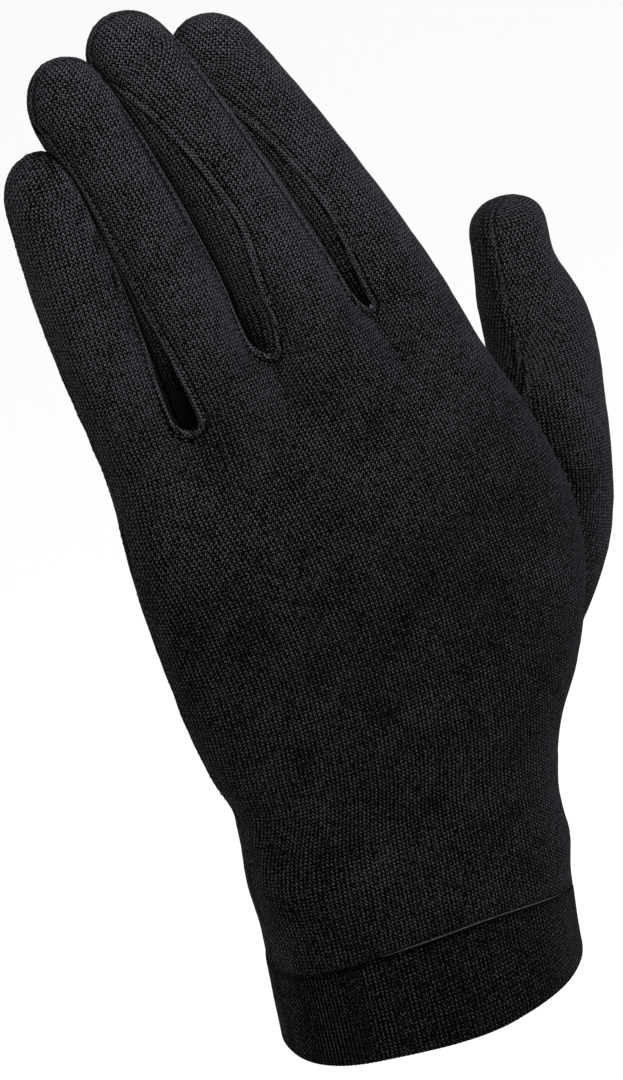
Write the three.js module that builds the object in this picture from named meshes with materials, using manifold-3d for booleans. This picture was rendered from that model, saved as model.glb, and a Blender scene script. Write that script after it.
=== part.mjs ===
// A thin knit glove liner for a left hand, shown as worn: hollow, with the fingers closed.
// Millimetres. +Z runs from the wrist to the fingertips, -Y is the back of the hand and +X the
// thumb side. The origin is the middle of the wrist opening.
import * as THREE from 'three';
import Module from 'manifold-3d';

const wasm = await Module();
wasm.setup();

// Driving sizes
const WEB_HEIGHT = 156.2;      // wrist opening to the line of the finger webs
const HAND_WIDTH = 92;         // across the knuckles
const HAND_DEPTH = 32;         // back to palm at the knuckles
const CUFF_HEIGHT = 23.7;      // opening to the cuff's seam, at the middle of the back
const SEAM_DROP = 0.21;        // how far the cuff's seam drops toward the thumb side, share of CUFF_HEIGHT
const SEAM_SAG = 0.25;         // and toward both side edges, share of CUFF_HEIGHT
const CUFF_WALL = 2.2;         // the doubled rib band
const CUFF_STEP = 0.2;         // how far the band stands proud of the cloth above it
const CLOTH = 1.2;             // the knit cloth
const SEAM_GAP = 0.3;          // between neighbouring pieces
const FINGER_WIDTH = 20;       // width that the fingers' shares are taken of
const FINGER_DEPTH = 19;       // depth that the fingers' shares are taken of
const LITTLE_LENGTH = 69.6;      // web to tip
const RING_LENGTH = 80.6;
const MIDDLE_LENGTH = 81.8;
const INDEX_LENGTH = 79;
const FINGERTIP_ROUND = 11;    // length of a finger's rounded end
const TIP_FULLNESS = 2.3;      // roundness of a tip: 2 is an ellipse, more is fuller
const FINGER_GAP = 1.0;        // least gap between neighbouring fingers
const STRIP_GAP = 0.18;        // a side strip's own share of the seam gap beside it
const CROTCH_GAP = 0.5;        // the same where it turns at a crotch
const STRIP_POINT = 0.7;       // how far a side strip reaches toward its point, share of its last row
const TIP_LEAN_IN = 0.5;       // how far a finger fills the room beside its neighbour's tip
const WEB_ROUND = 3.2;         // radius of the rounded end of each slit between two fingers
const WEB_DIP = 1.5;           // how far a crotch sags between back and palm
const KNUCKLE_BLEND = 34;      // length over which the hand divides into fingers
const PALM_SIDE_ANGLE = 36;    // angle that a side strip covers toward the palm
const STRIP_WIDENS = 0.5;      // share of its length in which a side strip reaches its full width
const STRIP_END = 9;           // tip of the finger to the point of a side strip
const THUMB_LENGTH = 110;      // root to tip
const THUMB_WIDTH = 30;
const THUMB_DEPTH = 25;
const THUMB_TIP_ROUND = 9;
const THUMB_ROOT_HEIGHT = 59.2;  // opening to the thumb's root

// Cross-sections of the hand. at: share of WEB_HEIGHT. little, thumb: the two side edges, shares
// of HAND_WIDTH. back, palm: the two depths, shares of HAND_DEPTH.
const HAND = [
  { at: 0.000, little: -0.424, thumb: 0.408, back: 0.80, palm: 0.80 },
  { at: 0.080, little: -0.413, thumb: 0.414, back: 0.77, palm: 0.77 },
  { at: 0.160, little: -0.402, thumb: 0.432, back: 0.72, palm: 0.72 },
  { at: 0.250, little: -0.384, thumb: 0.456, back: 0.65, palm: 0.66 },
  { at: 0.335, little: -0.384, thumb: 0.508, back: 0.60, palm: 0.64 },
  { at: 0.416, little: -0.400, thumb: 0.600, back: 0.56, palm: 0.64 },
  { at: 0.535, little: -0.430, thumb: 0.682, back: 0.54, palm: 0.62 },
  { at: 0.645, little: -0.444, thumb: 0.700, back: 0.53, palm: 0.60 },
  { at: 0.730, little: -0.449, thumb: 0.674, back: 0.52, palm: 0.58 },
  { at: 0.813, little: -0.445, thumb: 0.636, back: 0.47, palm: 0.50 },
  { at: 0.942, little: -0.443, thumb: 0.555, back: 0.38, palm: 0.40 },
  { at: 1.080, little: -0.448, thumb: 0.480, back: 0.33, palm: 0.34 },
];
const HAND_SQUARENESS = 2.25;

// Fingers, from the little one. x, z: root as shares of HAND_WIDTH and WEB_HEIGHT. y, curl: depth
// of the root, and how much deeper the tip lies, shares of HAND_DEPTH. lean, bend: degrees at the
// root, and gained by the tip. widths: root, middle and end, shares of the finger sizes. before,
// after: half angles of the side strips toward the back, at the root and further up, on the
// little finger's side and on the thumb side. palm: their half angles toward the palm at the
// root, on the same two sides.
const FINGERS = [
  { x: -0.332, y: 0.09, z: 0.956, lean: -5.5, bend: 5.8, curl: 0.09, length: LITTLE_LENGTH,
    widths: [0.93, 1.00, 0.83], before: [0, 0], after: [44, 38], palm: [0, 36] },
  { x: -0.122, y: 0.02, z: 0.995, lean: -5.6, bend: -9.0, curl: 0.11, length: RING_LENGTH,
    widths: [1.15, 1.06, 0.86], before: [44, 32], after: [27, 32], palm: [36, 36] },
  { x: 0.134, y: 0.00, z: 1.026, lean: -12.3, bend: -7.8, curl: 0.15, length: MIDDLE_LENGTH,
    widths: [1.31, 1.13, 0.89], before: [36, 74], after: [27, 32], palm: [36, 50] },
  { x: 0.406, y: 0.16, z: 0.998, lean: -16.5, bend: -8.5, curl: 0.26, length: INDEX_LENGTH,
    widths: [1.21, 1.07, 0.97], before: [51, 72], after: [0, 0], palm: [22, 0] },
];
// How far each crotch lies above the roots of its two fingers, shares of FINGER_WIDTH
const CROTCH_RISE = [0.04, 0.29, 0.27];
const FINGER_SQUARENESS = 2.2;
const WIDTH_PLACES = [0, 0.55, 1];

// Thumb sections. up: share of THUMB_LENGTH. out, deep: centre as shares of HAND_WIDTH and
// HAND_DEPTH. wide, thick: shares of THUMB_WIDTH and THUMB_DEPTH.
const THUMB = [
  { up: 0.00, out: 0.340, deep: 0.08, wide: 0.80, thick: 0.70 },
  { up: 0.13, out: 0.503, deep: 0.20, wide: 0.96, thick: 0.88 },
  { up: 0.26, out: 0.640, deep: 0.31, wide: 1.00, thick: 1.00 },
  { up: 0.40, out: 0.726, deep: 0.38, wide: 0.98, thick: 1.02 },
  { up: 0.54, out: 0.769, deep: 0.42, wide: 0.94, thick: 0.98 },
  { up: 0.67, out: 0.797, deep: 0.44, wide: 0.88, thick: 0.93 },
  { up: 0.79, out: 0.792, deep: 0.45, wide: 0.78, thick: 0.85 },
  { up: 0.90, out: 0.788, deep: 0.45, wide: 0.64, thick: 0.76 },
  { up: 1.00, out: 0.792, deep: 0.45, wide: 0.58, thick: 0.64 },
];

// Dents and folds of the hand. side: 1 back, -1 palm. across, along: place as shares of
// HAND_WIDTH and WEB_HEIGHT. wide, long: spread as shares of HAND_WIDTH. depth: share of HAND_DEPTH.
const DENTS = [
  { side: 1, across: -0.10, along: 0.900, wide: 0.045, long: 0.070, depth: 0.030 },
  { side: 1, across: 0.16, along: 0.930, wide: 0.045, long: 0.070, depth: 0.030 },
  { side: 1, across: 0.04, along: 0.860, wide: 0.080, long: 0.040, depth: 0.025 },
  { side: 1, across: 0.44, along: 0.700, wide: 0.100, long: 0.160, depth: 0.050 },
  { side: 1, across: -0.18, along: 0.560, wide: 0.050, long: 0.050, depth: 0.030 },
  { side: 1, across: -0.03, along: 0.330, wide: 0.300, long: 0.060, depth: 0.035 },
  { side: -1, across: 0.12, along: 0.620, wide: 0.140, long: 0.220, depth: 0.110 },
  { side: -1, across: 0.04, along: 0.330, wide: 0.300, long: 0.060, depth: 0.045 },
];

// How finely the surfaces are divided
const PALM_ROWS = 15;
const WEB_ROWS = 4;
const FREE_ROWS = 10;
const TIP_ROWS = 5;
const BACK_COLUMNS = 5;
const FRONT_COLUMNS = 4;
const STRIP_COLUMNS = 3;
const CUFF_STEPS = 44;
const CUFF_ROWS = 4;
const THUMB_SIDES = 22;
const THUMB_ROWS = 18;
const BODY_SIDES = 48;
const BODY_ROWS = 30;
const BODY_TOP = 0.98;         // top of the stand-in for the hand's skin, share of WEB_HEIGHT
const FACET_SPARE = 0.2;       // more gap where flat facets stand in for a round skin

const rad = THREE.MathUtils.degToRad;
const lerp = THREE.MathUtils.lerp;
const clamp = THREE.MathUtils.clamp;
const vec = (x, y, z) => new THREE.Vector3(x, y, z);
const smooth = (t) => THREE.MathUtils.smoothstep(t, 0, 1);
const signedPower = (c, e) => Math.sign(c) * Math.abs(c) ** e;

// A smooth curve through values at given places
function through(places, values, x) {
  const n = places.length;
  const at = clamp(x, places[0], places[n - 1]);
  let i = 0;
  while (i < n - 2 && at > places[i + 1]) i += 1;
  const slope = (k) => {
    const a = Math.max(k - 1, 0);
    const b = Math.min(k + 1, n - 1);
    return (values[b] - values[a]) / (places[b] - places[a]);
  };
  const h = places[i + 1] - places[i];
  const t = (at - places[i]) / h;
  const rise = (t ** 3 - 2 * t ** 2 + t) * h * slope(i) + (t ** 3 - t ** 2) * h * slope(i + 1);
  return lerp(values[i], values[i + 1], t * t * (3 - 2 * t)) + rise;
}

const column = (table, place, name, x) => through(table.map((r) => r[place]), table.map((r) => r[name]), x);

// The hand's cross-section at a height
function handSection(z, inset) {
  const at = z / WEB_HEIGHT;
  const little = column(HAND, 'at', 'little', at) * HAND_WIDTH + inset;
  const thumb = column(HAND, 'at', 'thumb', at) * HAND_WIDTH - inset;
  return {
    middle: (little + thumb) / 2,
    half: (thumb - little) / 2,
    back: column(HAND, 'at', 'back', at) * HAND_DEPTH - inset,
    palm: column(HAND, 'at', 'palm', at) * HAND_DEPTH - inset,
  };
}

function dentDepth(side, x, z) {
  let depth = 0;
  for (const d of DENTS.filter((row) => row.side === side)) {
    const u = (x - d.across * HAND_WIDTH) / (d.wide * HAND_WIDTH);
    const w = (z - d.along * WEB_HEIGHT) / (d.long * HAND_WIDTH);
    depth += d.depth * HAND_DEPTH * Math.exp(-(u * u + w * w) / 2);
  }
  return depth;
}

// A point of the hand's skin: angle 0 is the thumb side and PI the little finger's
function handPoint(z, angle, side, inset) {
  const s = handSection(z, inset);
  const power = 2 / HAND_SQUARENESS;
  const x = s.middle + s.half * signedPower(Math.cos(angle), power);
  const depth = (side > 0 ? s.back : s.palm) * Math.abs(Math.sin(angle)) ** power;
  const dent = dentDepth(side, x, z) * Math.abs(Math.sin(angle));
  return vec(x, -side * (depth - dent), z);
}

// A finger's centre line; its place along is negative below the root
function fingerCentre(f, along) {
  const lean = Math.tan(rad(f.lean));
  const bend = Math.tan(rad(f.bend));
  const shorten = Math.hypot(lean, 1);
  const share = along / f.length;
  const deeper = f.curl * HAND_DEPTH * Math.max(share, 0) ** 2;
  const point = vec(
    f.x * HAND_WIDTH + (lean * along + (bend * along * share) / 2) / shorten,
    f.y * HAND_DEPTH + deeper,
    f.z * WEB_HEIGHT + along / shorten,
  );
  const slopeY = ((2 * f.curl * HAND_DEPTH * Math.max(share, 0)) / f.length) * shorten;
  const tangent = vec(lean + bend * share, slopeY, 1).normalize();
  return { point, tangent };
}

const alongAt = (f, z) => (z - f.z * WEB_HEIGHT) * Math.hypot(Math.tan(rad(f.lean)), 1);
const fingerHalf = (f, share, size) => (through(WIDTH_PLACES, f.widths, clamp(share, 0, 1)) * size) / 2;

// How much of a finger's breadth is left along its rounded end
function tipShare(f, along, inset) {
  const length = f.length - inset;
  const near = clamp((along * (length / f.length) - (length - FINGERTIP_ROUND)) / FINGERTIP_ROUND, 0, 1);
  return Math.sqrt(Math.max(1 - near ** TIP_FULLNESS, 0));
}

// Two closed fingers press flat against each other halfway between them
function pressFlat(p, f, g, inset) {
  const mine = fingerCentre(f, alongAt(f, p.z)).point;
  const other = fingerCentre(g, alongAt(g, p.z)).point;
  const way = vec(other.x - mine.x, other.y - mine.y, 0);
  const a = fingerHalf(f, alongAt(f, p.z) / f.length, FINGER_WIDTH);
  const b = fingerHalf(g, alongAt(g, p.z) / g.length, FINGER_WIDTH);
  const beyond = Math.max(alongAt(g, p.z) - g.length, 0);
  const leanIn = TIP_LEAN_IN * b * (1 - tipShare(g, alongAt(g, p.z), 0));
  const border = (way.length() * a) / (a + b) + leanIn + beyond;
  way.normalize();
  const past = p.clone().sub(mine).dot(way) - border + FINGER_GAP / 2 + inset;
  const push = (past + Math.hypot(past, FINGER_GAP)) / 2;
  return p.clone().addScaledVector(way, -push);
}

// A point of a finger's skin: angle 0 faces the thumb side, PI / 2 the back
function fingerPoint(i, along, angle, inset) {
  const f = FINGERS[i];
  const { point, tangent } = fingerCentre(f, along);
  const up = vec(0, -1, 0).addScaledVector(tangent, tangent.y).normalize();
  const across = vec(0, 0, 0).crossVectors(tangent, up);
  const share = along / f.length;
  const close = tipShare(f, along, inset);
  const power = 2 / FINGER_SQUARENESS;
  const a = (fingerHalf(f, share, FINGER_WIDTH) - inset) * close * signedPower(Math.cos(angle), power);
  const b = (fingerHalf(f, share, FINGER_DEPTH) - inset) * close * signedPower(Math.sin(angle), power);
  let p = point.addScaledVector(across, a).addScaledVector(up, b);
  p.addScaledVector(tangent, -inset * smooth(clamp(share, 0, 1)));
  if (i > 0) p = pressFlat(p, f, FINGERS[i - 1], inset);
  if (i < FINGERS.length - 1) p = pressFlat(p, f, FINGERS[i + 1], inset);
  return p;
}

// Height of the crotch between fingers i and i + 1
function crotchHeight(i) {
  return ((FINGERS[i].z + FINGERS[i + 1].z) / 2) * WEB_HEIGHT + CROTCH_RISE[i] * FINGER_WIDTH;
}

// Where a finger starts: level with the crotches at its two sides, at its root in between.
// q: 0 on the little finger's side, 1 on the thumb side.
function startAlong(i, q) {
  const before = i > 0 ? alongAt(FINGERS[i], crotchHeight(i - 1)) : 0;
  const after = i < FINGERS.length - 1 ? alongAt(FINGERS[i], crotchHeight(i)) : 0;
  return before * (1 - q) ** 2 + after * q ** 2;
}

// Place along a finger from a share: 0 at the web, 1 at the tip
function freeAlong(i, q, share) {
  return lerp(startAlong(i, q), FINGERS[i].length, share);
}

// Angle from a finger's side to the edge of its side strip, which narrows to a point near the tip
function sideAngle(i, q, share, side) {
  const full = share / (1 - STRIP_END / FINGERS[i].length);
  const back = q > 0 ? FINGERS[i].after : FINGERS[i].before;
  const [root, free] = side > 0 ? back : [FINGERS[i].palm[q], PALM_SIDE_ANGLE];
  const angle = lerp(root, free, smooth(full / STRIP_WIDENS));
  return side * rad(angle) * Math.sqrt(1 - clamp(full, 0, 1) ** 4);
}

// The angle of a seam on a finger. The outer sides of the hand have no strip.
function edgeAngle(i, q, share, side) {
  const outer = q > 0 ? i === FINGERS.length - 1 : i === 0;
  const angle = outer ? 0 : sideAngle(i, q, share, side);
  return q > 0 ? angle : Math.PI * side - angle;
}

// The angle across a side strip, from back (0) to palm (1)
function stripAngle(i, q, share, across, spare) {
  const back = sideAngle(i, q, share, 1) - spare;
  const palm = sideAngle(i, q, share, -1) + spare;
  const angle = lerp(back, palm, across);
  return q > 0 ? angle : Math.PI - angle;
}

// The crotch between fingers i and i + 1, from back (0) to palm (1)
function crotch(i, across, inset) {
  const a = fingerPoint(i, startAlong(i, 1), stripAngle(i, 1, 0, across, 0), inset);
  const b = fingerPoint(i + 1, startAlong(i + 1, 0), stripAngle(i + 1, 0, 0, across, 0), inset);
  const p = a.add(b).multiplyScalar(0.5);
  p.z -= inset + WEB_DIP * 4 * across * (1 - across);
  return p;
}

// The rounded end of a slit: 1 at the crotch, 0 where the finger runs free
function slitPull(beyond, inset) {
  const left = clamp(1 - beyond / (WEB_ROUND + inset), 0, 1);
  return 1 - Math.sqrt(1 - left * left);
}

// Angles round the hand where the fingers part
const PARTS = [Math.PI, ...[0, 1, 2].map((i) => {
  const p = crotch(i, 0, 0);
  const s = handSection(p.z, 0);
  return Math.acos(signedPower(clamp((p.x - s.middle) / s.half, -1, 1), HAND_SQUARENESS / 2));
}), 0];

// Height of the cuff's seam round the hand
function seamHeight(angle) {
  const turn = Math.cos(angle);
  return CUFF_HEIGHT * (1 - SEAM_DROP * turn - SEAM_SAG * turn * turn);
}

// The move that brings a finger's root edge to the crotch beside it, on its q side
function toCrotch(i, q, side, inset) {
  const outer = q > 0 ? i === FINGERS.length - 1 : i === 0;
  if (outer) return vec(0, 0, 0);
  const root = fingerPoint(i, startAlong(i, q), edgeAngle(i, q, 0, side), inset);
  return crotch(q > 0 ? i : i - 1, side > 0 ? 0 : 1, inset).sub(root);
}

// A point of the strip of cloth that runs up the hand and along finger i. t: 0 at the cuff, 1 at
// the web, 2 at the tip. q: 0 on the little finger's side, 1 on the thumb side. side: 1 back.
function stripPoint(i, t, q, side, inset) {
  if (t < 1) {
    const own = palmBlend(i, t, q, side, inset, vec(0, 0, 0));
    for (const edge of [0, 1]) {
      const next = edge ? i + 1 : i - 1;
      if (next < 0 || next === FINGERS.length) continue;
      const bare = palmBlend(i, t, edge, side, inset, vec(0, 0, 0));
      const mine = palmBlend(i, t, edge, side, inset, toCrotch(i, edge, side, inset));
      const theirs = palmBlend(next, t, 1 - edge, side, inset, toCrotch(next, 1 - edge, side, inset));
      const valley = mine.add(theirs).multiplyScalar(0.5);
      own.addScaledVector(valley.sub(bare), (edge ? q : 1 - q) ** 3);
    }
    return own;
  }
  const share = t - 1;
  const angle = lerp(edgeAngle(i, 0, share, side), edgeAngle(i, 1, share, side), q);
  const p = fingerPoint(i, freeAlong(i, q, share), angle, inset);
  for (const edge of [0, 1]) {
    const pull = slitPull(freeAlong(i, edge, share) - startAlong(i, edge), inset);
    p.addScaledVector(toCrotch(i, edge, side, inset), pull * (edge ? q : 1 - q) ** 3);
  }
  return p;
}

// The hand's skin below the web, turning into the fingers' own skin, moved by a step, near it
function palmBlend(i, t, q, side, inset, step) {
  const angle = lerp(PARTS[i], PARTS[i + 1], q);
  const from = seamHeight(angle) + SEAM_GAP / 2;
  const to = fingerCentre(FINGERS[i], startAlong(i, q)).point.z;
  const z = lerp(from, to, t);
  const hand = handPoint(z, angle, side, inset);
  const weight = smooth(1 - (to - z) / KNUCKLE_BLEND) ** 1.3;
  if (weight <= 0) return hand;
  const turn = lerp(edgeAngle(i, 0, 0, side), edgeAngle(i, 1, 0, side), q);
  const finger = fingerPoint(i, startAlong(i, q) - (to - z), turn, inset).add(step);
  return hand.lerp(finger, weight);
}

// A closed wall from grids of outer and inner points. Grids share points where they meet, and the
// open edges are closed by a narrow face.
function wallGeometry(grids) {
  const outer = [];
  const inner = [];
  const known = new Map();
  const faces = [];
  const put = ([a, b]) => {
    const key = [a.x, a.y, a.z].map((v) => v.toFixed(3)).join();
    if (!known.has(key)) {
      known.set(key, outer.length);
      outer.push(a);
      inner.push(b);
    }
    return known.get(key);
  };
  for (const grid of grids) {
    const ids = grid.map((row) => row.map(put));
    for (let r = 0; r + 1 < ids.length; r += 1) {
      for (let c = 0; c + 1 < ids[r].length; c += 1) {
        const [a, b, d, e] = [ids[r][c], ids[r][c + 1], ids[r + 1][c + 1], ids[r + 1][c]];
        faces.push([a, b, d], [a, d, e]);
      }
    }
  }
  const whole = faces.filter(([a, b, c]) => a !== b && b !== c && c !== a);
  const edges = new Set(whole.flatMap(([a, b, c]) => [`${a},${b}`, `${b},${c}`, `${c},${a}`]));
  const n = outer.length;
  const index = [];
  for (const [a, b, c] of whole) {
    index.push(a, b, c, a + n, c + n, b + n);
    for (const [from, to] of [[a, b], [b, c], [c, a]]) {
      if (!edges.has(`${to},${from}`)) index.push(to, from, from + n, to, from + n, to + n);
    }
  }
  const geometry = new THREE.BufferGeometry();
  const numbers = [...outer, ...inner].flatMap((p) => [p.x, p.y, p.z]);
  geometry.setAttribute('position', new THREE.Float32BufferAttribute(numbers, 3));
  geometry.setIndex(index);
  return geometry;
}

// Places along a finger as shares: close together at the slit's rounded end and at the tip. The
// last but TIP_ROWS is where the side strips end.
function fingerRows(i) {
  const round = WEB_ROUND / FINGERS[i].length;
  const end = STRIP_END / FINGERS[i].length;
  const arc = (k, n) => 1 - Math.cos(((k / n) * Math.PI) / 2);
  const web = Array.from({ length: WEB_ROWS }, (_, k) => round * arc(k, WEB_ROWS));
  const free = Array.from({ length: FREE_ROWS }, (_, k) => {
    const u = k / FREE_ROWS;
    return lerp(round, 1 - end, lerp(u, Math.sin((Math.PI / 2) * u), 0.4));
  });
  const tip = Array.from({ length: TIP_ROWS + 1 }, (_, k) => 1 - end * arc(TIP_ROWS - k, TIP_ROWS));
  return [...web, ...free, ...tip];
}

const palmRows = Array.from({ length: PALM_ROWS }, (_, k) => {
  const u = k / PALM_ROWS;
  return lerp(u, Math.sin((Math.PI / 2) * u), 0.5);
});

// Moves an edge's points off the seam by half its gap: toward the next column, or round a slit's
// end away from the slit's middle
function offSeam(pair, next, middle, pull) {
  const inward = next[0].clone().sub(pair[0]).normalize();
  const away = pair[0].clone().sub(middle).normalize();
  const step = inward.lerp(away, pull).setLength((SEAM_GAP / 2) * (1 + pull));
  return pair.map((p) => p.clone().add(step));
}

// The middle of the slit between fingers i and i + 1, a share of the way up
function slitMiddle(i, share, side) {
  const at = Math.max(share, WEB_ROUND / FINGERS[i].length);
  const a = fingerPoint(i, freeAlong(i, 1, at), edgeAngle(i, 1, at, side), 0);
  const b = fingerPoint(i + 1, freeAlong(i + 1, 0, at), edgeAngle(i + 1, 0, at, side), 0);
  return a.add(b).multiplyScalar(0.5);
}

// One broad panel: the back (side 1) or the palm (side -1)
function panelGrids(side, columns) {
  return FINGERS.map((f, i) => {
    const places = [...palmRows, ...fingerRows(i).map((share) => 1 + share)];
    const halfGap = (side * SEAM_GAP) / 2;
    const rows = places.map((t) => {
      const row = Array.from({ length: columns + 1 }, (_, c) => {
        return [0, CLOTH].map((inset) => stripPoint(i, t, c / columns, side, inset));
      });
      if (t > 2 - 1e-9) return row.map((pair) => pair.map((p) => p.add(vec(0, -halfGap, 0))));
      const share = Math.max(t - 1, 0);
      const closed = share * f.length > f.length - STRIP_END - 1e-6;
      const ends = [[row[0], row[1], 0], [row[columns], row[columns - 1], 1]];
      const moved = ends.map(([pair, next, q]) => {
        const outer = q ? i === FINGERS.length - 1 : i === 0;
        if (t < 1 && !outer) return pair;
        if (outer || closed) return offSeam(pair, next, pair[0], 0);
        const pull = slitPull(freeAlong(i, q, share) - startAlong(i, q), 0);
        return offSeam(pair, next, slitMiddle(q ? i : i - 1, share, side), pull);
      });
      return [moved[0], ...row.slice(1, -1), moved[1]];
    });
    return side > 0 ? rows : rows.map((row) => [...row].reverse());
  });
}

// A side strip: down the thumb side of finger i and up the other side of finger i + 1
function stripGrids(i) {
  const half = (finger, q) => {
    const row = (share, spare) => Array.from({ length: STRIP_COLUMNS + 1 }, (_, c) => {
      const across = c / STRIP_COLUMNS;
      return [0, CLOTH].map((inset) => {
        const start = startAlong(finger, q);
        const along = freeAlong(finger, q, share);
        const root = fingerPoint(finger, start, stripAngle(finger, q, 0, across, 0), inset);
        const turn = stripAngle(finger, q, share, across, spare / (FINGER_WIDTH / 2 - inset));
        const home = crotch(i, across, inset);
        home.y += (1 - 2 * across) * CROTCH_GAP;
        return fingerPoint(finger, along, turn, inset)
          .addScaledVector(home.sub(root), slitPull(along - start, inset));
      });
    });
    const places = fingerRows(finger);
    const rows = places.slice(0, -TIP_ROWS - 1).map((share, k) => row(share, k > 0 ? STRIP_GAP : 0));
    const point = row(places[places.length - TIP_ROWS - 1], 0);
    const last = rows[rows.length - 1];
    const blunt = last.map((pair, c) => pair.map((p, k) => p.clone().lerp(point[c][k], STRIP_POINT)));
    return [...rows, blunt];
  };
  return [[...half(i, 1).reverse(), ...half(i + 1, 0).slice(1)].map((row) => [...row].reverse())];
}

// The doubled band at the wrist, folded over at the opening
function cuffGrid() {
  const around = Array.from({ length: CUFF_STEPS + 1 }, (_, k) => (k / CUFF_STEPS) * 2 * Math.PI);
  const wall = (angle, level) => {
    const side = angle < Math.PI ? 1 : -1;
    const turn = side > 0 ? angle : 2 * Math.PI - angle;
    const top = seamHeight(turn) - SEAM_GAP / 2;
    const z = lerp(0, top, level);
    return [handPoint(z, turn, side, -CUFF_STEP), handPoint(z, turn, side, CUFF_WALL - CUFF_STEP)];
  };
  return around.map((angle) => {
    const levels = Array.from({ length: CUFF_ROWS + 1 }, (_, k) => k / CUFF_ROWS);
    return levels.map((level) => wall(angle % (2 * Math.PI), level));
  });
}

function toManifold(geometry) {
  const position = geometry.getAttribute('position').array;
  const known = new Map();
  const vertProperties = [];
  const remap = [];
  for (let k = 0; k < position.length; k += 3) {
    const key = `${position[k]},${position[k + 1]},${position[k + 2]}`;
    if (!known.has(key)) {
      known.set(key, vertProperties.length / 3);
      vertProperties.push(position[k], position[k + 1], position[k + 2]);
    }
    remap.push(known.get(key));
  }
  const triVerts = Uint32Array.from(geometry.index.array, (v) => remap[v]);
  const mesh = new wasm.Mesh({ numProp: 3, vertProperties: new Float32Array(vertProperties), triVerts });
  return new wasm.Manifold(mesh);
}

function fromManifold(solid) {
  const mesh = solid.getMesh();
  const geometry = new THREE.BufferGeometry();
  geometry.setAttribute('position', new THREE.Float32BufferAttribute(mesh.vertProperties, 3));
  geometry.setIndex([...mesh.triVerts]);
  return geometry;
}

// A closed solid from a stack of rings, capped at both ends
function stackGeometry(rings) {
  const sides = rings[0].length;
  const points = rings.flat();
  const index = [];
  for (let r = 0; r + 1 < rings.length; r += 1) {
    for (let c = 0; c < sides; c += 1) {
      const [a, b] = [r * sides + c, r * sides + ((c + 1) % sides)];
      index.push(a, b, b + sides, a, b + sides, a + sides);
    }
  }
  const last = (rings.length - 1) * sides;
  const ends = [rings[0], rings[rings.length - 1]].map((ring) => {
    const middle = ring.reduce((sum, p) => sum.add(p), vec(0, 0, 0)).divideScalar(sides);
    points.push(middle);
    return points.length - 1;
  });
  for (let c = 0; c < sides; c += 1) {
    const next = (c + 1) % sides;
    index.push(ends[0], next, c, ends[1], last + c, last + next);
  }
  const geometry = new THREE.BufferGeometry();
  const numbers = points.flatMap((p) => [p.x, p.y, p.z]);
  geometry.setAttribute('position', new THREE.Float32BufferAttribute(numbers, 3));
  geometry.setIndex(index);
  return geometry;
}

function thumbCentre(share) {
  return vec(
    column(THUMB, 'up', 'out', share) * HAND_WIDTH,
    column(THUMB, 'up', 'deep', share) * HAND_DEPTH,
    THUMB_ROOT_HEIGHT + share * THUMB_LENGTH,
  );
}

// The thumb as a closed solid, its skin moved inward by inset
function thumbGeometry(inset) {
  const length = THUMB_LENGTH - inset;
  const rings = Array.from({ length: THUMB_ROWS + 1 }, (_, k) => {
    const u = k / THUMB_ROWS;
    const share = lerp(u, Math.sin((Math.PI / 2) * u), 0.75) * 0.9995;
    const up = share * length;
    const near = clamp((up - (length - THUMB_TIP_ROUND)) / THUMB_TIP_ROUND, 0, 1);
    const close = Math.sqrt(1 - near ** TIP_FULLNESS);
    const centre = thumbCentre(up / THUMB_LENGTH);
    const ahead = thumbCentre(Math.min(up / THUMB_LENGTH + 0.02, 1));
    const behind = thumbCentre(Math.max(up / THUMB_LENGTH - 0.02, 0));
    const tangent = ahead.sub(behind).normalize();
    const across = vec(1, 0, 0).addScaledVector(tangent, -tangent.x).normalize();
    const back = vec(0, 0, 0).crossVectors(across, tangent);
    const wide = ((column(THUMB, 'up', 'wide', up / THUMB_LENGTH) * THUMB_WIDTH) / 2 - inset) * close;
    const thick = ((column(THUMB, 'up', 'thick', up / THUMB_LENGTH) * THUMB_DEPTH) / 2 - inset) * close;
    return Array.from({ length: THUMB_SIDES }, (_, c) => {
      const turn = (c / THUMB_SIDES) * 2 * Math.PI;
      return centre.clone()
        .addScaledVector(across, wide * Math.cos(turn))
        .addScaledVector(back, -thick * Math.sin(turn));
    });
  });
  return stackGeometry(rings);
}

// The hand below the webs as a closed solid, its skin moved outward by outset
function handGeometry(outset) {
  const rings = Array.from({ length: BODY_ROWS + 1 }, (_, k) => {
    const z = lerp(CUFF_HEIGHT / 2, WEB_HEIGHT * BODY_TOP, k / BODY_ROWS);
    return Array.from({ length: BODY_SIDES }, (_, c) => {
      const turn = (c / BODY_SIDES) * 2 * Math.PI;
      return turn <= Math.PI
        ? handPoint(z, turn, 1, -outset)
        : handPoint(z, 2 * Math.PI - turn, -1, -outset);
    }).reverse();
  });
  return stackGeometry(rings);
}

const knit = new THREE.MeshStandardMaterial({ color: 0x1b1b1d, roughness: 0.92, metalness: 0 });
const rib = new THREE.MeshStandardMaterial({ color: 0x131316, roughness: 0.95, metalness: 0 });

function named(name, geometry, material) {
  const mesh = new THREE.Mesh(geometry, material);
  geometry.computeVertexNormals();
  mesh.name = name;
  return mesh;
}

const passage = toManifold(thumbGeometry(CLOTH));
const withPassage = (geometry) => fromManifold(toManifold(geometry).subtract(passage));
const handCore = toManifold(handGeometry(SEAM_GAP + FACET_SPARE));
const thumbWall = toManifold(thumbGeometry(0)).subtract(passage).subtract(handCore);

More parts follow.
